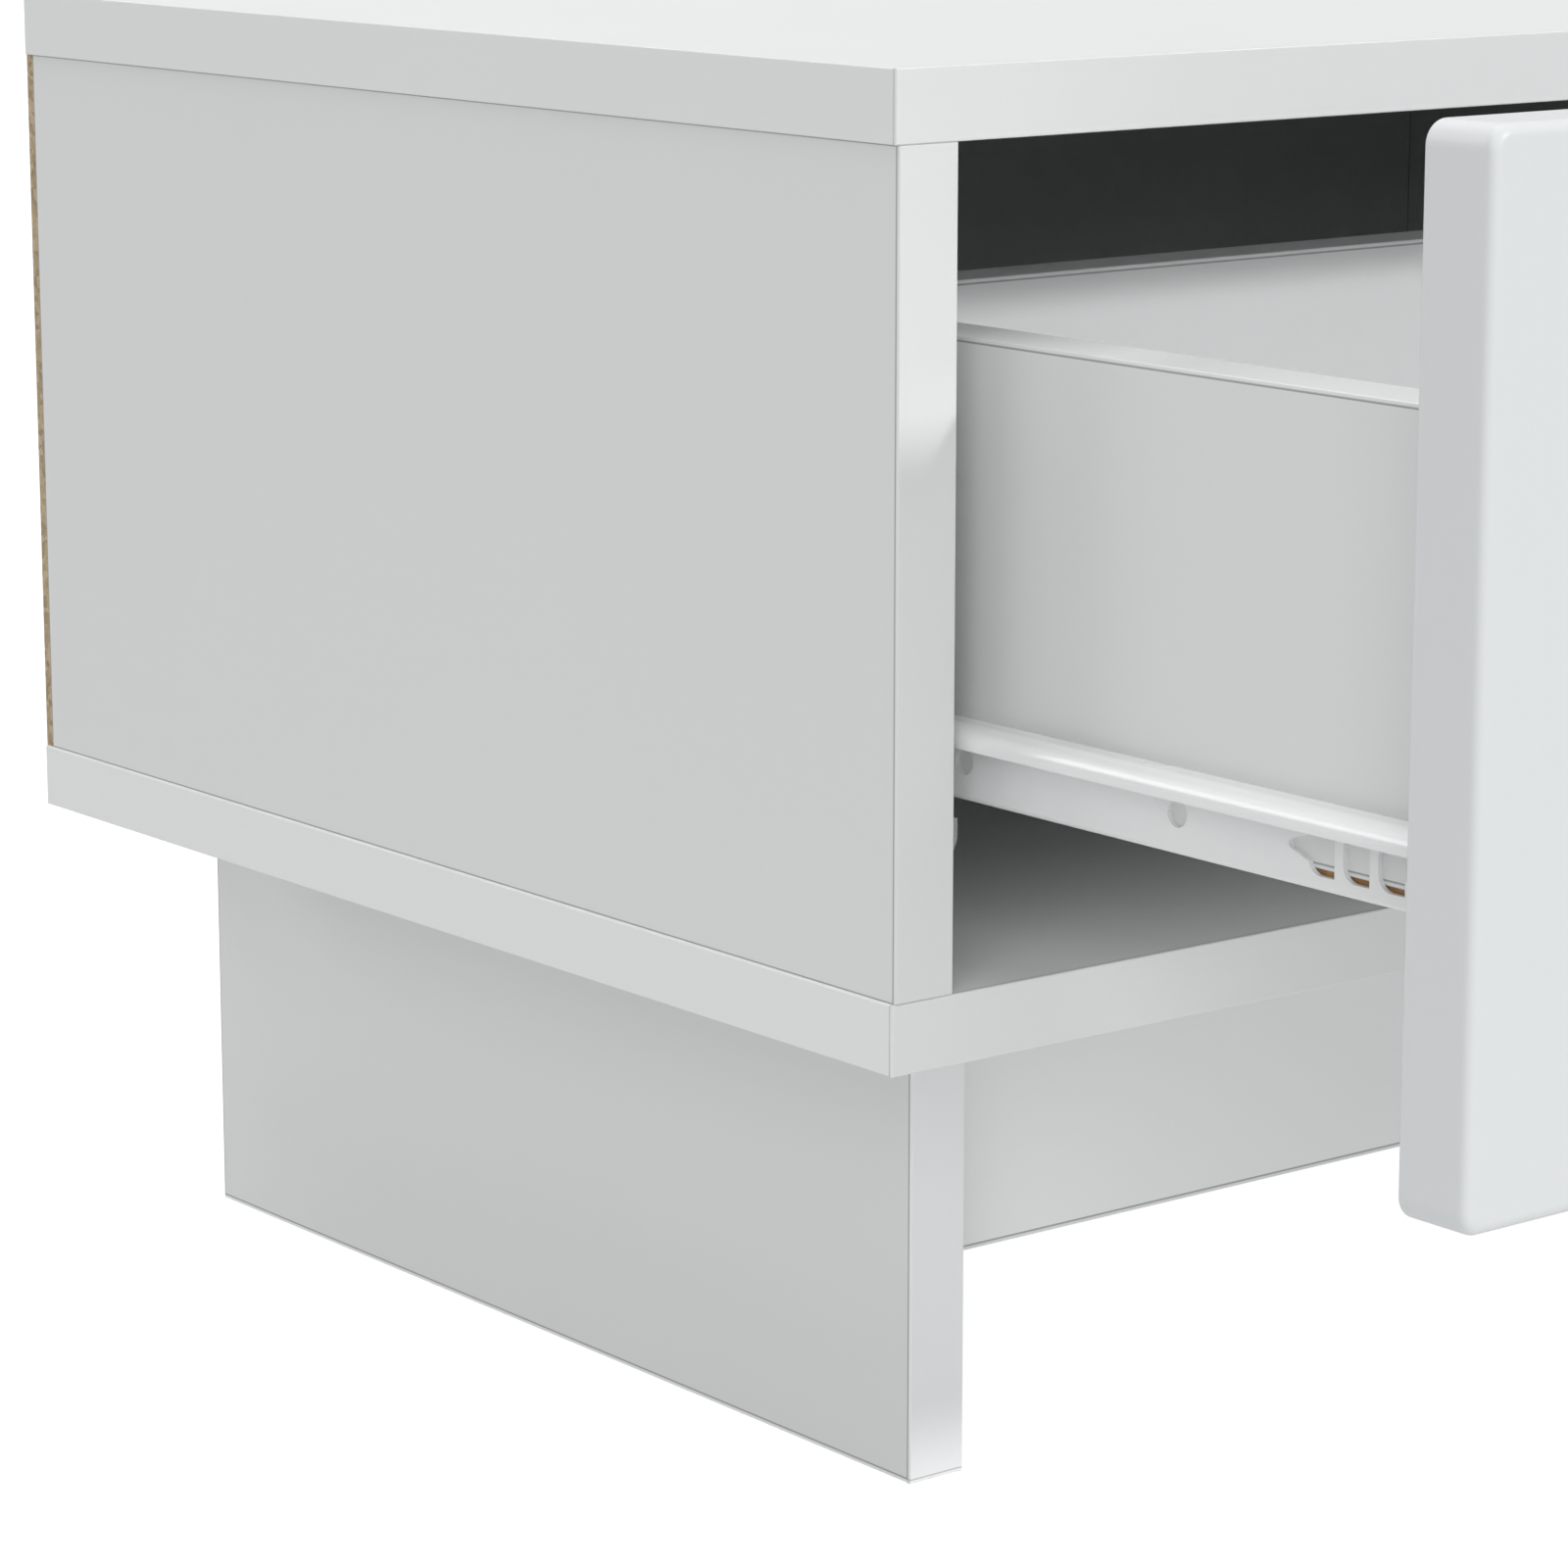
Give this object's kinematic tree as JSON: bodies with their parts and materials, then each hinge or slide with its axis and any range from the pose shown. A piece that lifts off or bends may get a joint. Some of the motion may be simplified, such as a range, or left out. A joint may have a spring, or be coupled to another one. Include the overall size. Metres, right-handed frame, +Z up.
{
  "type": "under desk drawer",
  "caption": "Low drawer unit for under a desk: chipboard body on a recessed plinth of two leg boards and a kick rail, with one handleless drawer on roller runners.",
  "frame": {"origin": "centre of the footprint on the floor, taken over the whole object with its drawer drawn out as it stands at rest", "axes": "+X to the right, +Y to the back, +Z up; the drawer opens along -Y"},
  "size_m": [0.526, 0.5326, 0.337],
  "materials": {
    "melamine": "white melamine-faced chipboard, satin",
    "edging": "white ABS edging strip, satin",
    "foil_front": "white foil wrapped over MDF, satin",
    "back_sheet": "hardboard, white lacquer inside, raw brown outside and at the edges",
    "runner_steel": "white epoxy powder coat, semi-gloss",
    "nylon": "white nylon",
    "zinc": "zinc-plated steel and die-cast zinc",
    "beech": "fluted beech dowel"
  },
  "bodies": {
    "case": {"top_panel": "melamine", "bottom_panel": "melamine", "top_panel_edging": "edging", "bottom_panel_edging": "edging", "left_side_panel": "melamine", "right_side_panel": "melamine", "side_panel_edging": "edging", "back_panel": "back_sheet", "back_panel_nails": "zinc", "left_leg_panel": "melamine", "right_leg_panel": "melamine", "leg_panel_edging": "edging", "kick_rail": "melamine", "kick_rail_edging": "edging", "case_cams": "zinc", "case_cam_bolts": "zinc", "case_dowels": "beech", "leg_cams": "zinc", "leg_cam_bolts": "zinc", "leg_dowels": "beech", "kick_rail_cams": "zinc", "kick_rail_cam_bolts": "zinc", "kick_rail_dowels": "beech", "left_cabinet_runner": "runner_steel", "right_cabinet_runner": "runner_steel", "cabinet_runner_screws": "zinc", "front_roller_pins": "zinc"},
    "drawer": {"drawer_front": "foil_front", "drawer_left_side": "melamine", "drawer_right_side": "melamine", "drawer_side_edging": "edging", "drawer_back": "melamine", "drawer_back_edging": "edging", "drawer_bottom": "back_sheet", "drawer_bottom_nails": "zinc", "drawer_front_cams": "zinc", "drawer_front_cam_bolts": "zinc", "drawer_front_dowels": "beech", "drawer_back_screws": "zinc", "drawer_back_dowels": "beech", "left_drawer_runner": "runner_steel", "right_drawer_runner": "runner_steel", "drawer_runner_screws": "zinc", "rear_roller_pins": "zinc"},
    "left_front_roller": {"left_front_roller": "nylon"},
    "right_front_roller": {"right_front_roller": "nylon"},
    "left_rear_roller": {"left_rear_roller": "nylon"},
    "right_rear_roller": {"right_rear_roller": "nylon"}
  },
  "joints": [
    {"name": "drawer_slide", "type": "slide", "parent": "case", "child": "drawer", "axis": [0, -1, 0], "range_m": [-0.152, 0.033]},
    {"name": "left_front_roller_spin", "type": "hinge", "parent": "case", "child": "left_front_roller", "pos_m": [-0.2386, -0.07275, 0.1856], "axis": [1, 0, 0], "continuous": true},
    {"name": "right_front_roller_spin", "type": "hinge", "parent": "case", "child": "right_front_roller", "pos_m": [0.2386, -0.07275, 0.1856], "axis": [1, 0, 0], "continuous": true},
    {"name": "left_rear_roller_spin", "type": "hinge", "parent": "drawer", "child": "left_rear_roller", "pos_m": [-0.24075, -0.00525, 0.1764], "axis": [1, 0, 0], "continuous": true},
    {"name": "right_rear_roller_spin", "type": "hinge", "parent": "drawer", "child": "right_rear_roller", "pos_m": [0.24075, -0.00525, 0.1764], "axis": [1, 0, 0], "continuous": true}
  ],
  "couplings": [
    {"joint": "left_front_roller_spin", "follows": "drawer_slide", "rad_per_m": 125},
    {"joint": "right_front_roller_spin", "follows": "drawer_slide", "rad_per_m": 125},
    {"joint": "left_rear_roller_spin", "follows": "drawer_slide", "rad_per_m": 125},
    {"joint": "right_rear_roller_spin", "follows": "drawer_slide", "rad_per_m": 125}
  ]
}
